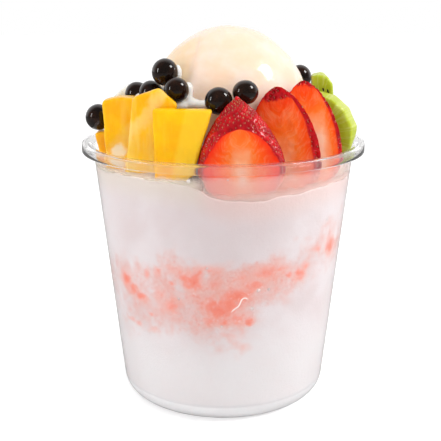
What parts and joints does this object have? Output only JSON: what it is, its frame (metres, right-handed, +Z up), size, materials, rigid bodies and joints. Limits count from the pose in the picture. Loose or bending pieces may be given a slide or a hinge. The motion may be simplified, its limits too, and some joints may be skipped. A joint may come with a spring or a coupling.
{
  "type": "cup of shaved ice",
  "caption": "Clear flared dessert cup of shaved ice with a berry layer, topped with an ice cream scoop, strawberries, mango, kiwi and dark chewy pearls",
  "frame": {"origin": "centre of the cup's foot, on the surface it stands on", "axes": "+Z up along the cup's axis; the strawberries and the mango blocks stand at -Y, the kiwi at +X"},
  "size_m": [0.117, 0.117, 0.1553],
  "materials": {
    "clear_cup": "clear, glossy",
    "ice": "frosty, translucent",
    "berry_ice": "frosty, translucent",
    "ice_cream": "soft sheen",
    "strawberry": "moist",
    "mango": "moist",
    "kiwi": "moist",
    "pearl": "glossy, syrupy",
    "jelly": "moist, translucent"
  },
  "bodies": {
    "root": {"cup": "clear_cup", "ice_bottom": "ice", "berry_layer": "berry_ice", "ice_top": "ice", "ice_cream_scoop": "ice_cream", "strawberry_front": "strawberry", "strawberry_middle": "strawberry", "strawberry_right": "strawberry", "strawberry_back": "strawberry", "mango_left": "mango", "mango_peak": "mango", "mango_block": "mango", "mango_edge": "mango", "mango_back": "mango", "kiwi_slice": "kiwi", "kiwi_wedge": "kiwi", "kiwi_back": "kiwi", "jelly_left": "jelly", "jelly_back": "jelly", "pearl_left": "pearl", "pearl_top": "pearl", "pearl_shoulder": "pearl", "pearl_behind": "pearl", "pearl_far_left": "pearl", "pearl_front_left": "pearl", "pearl_front_right": "pearl", "pearl_right": "pearl", "pearl_back_left": "pearl", "pearl_back_middle": "pearl", "pearl_back_right": "pearl"}
  },
  "joints": []
}
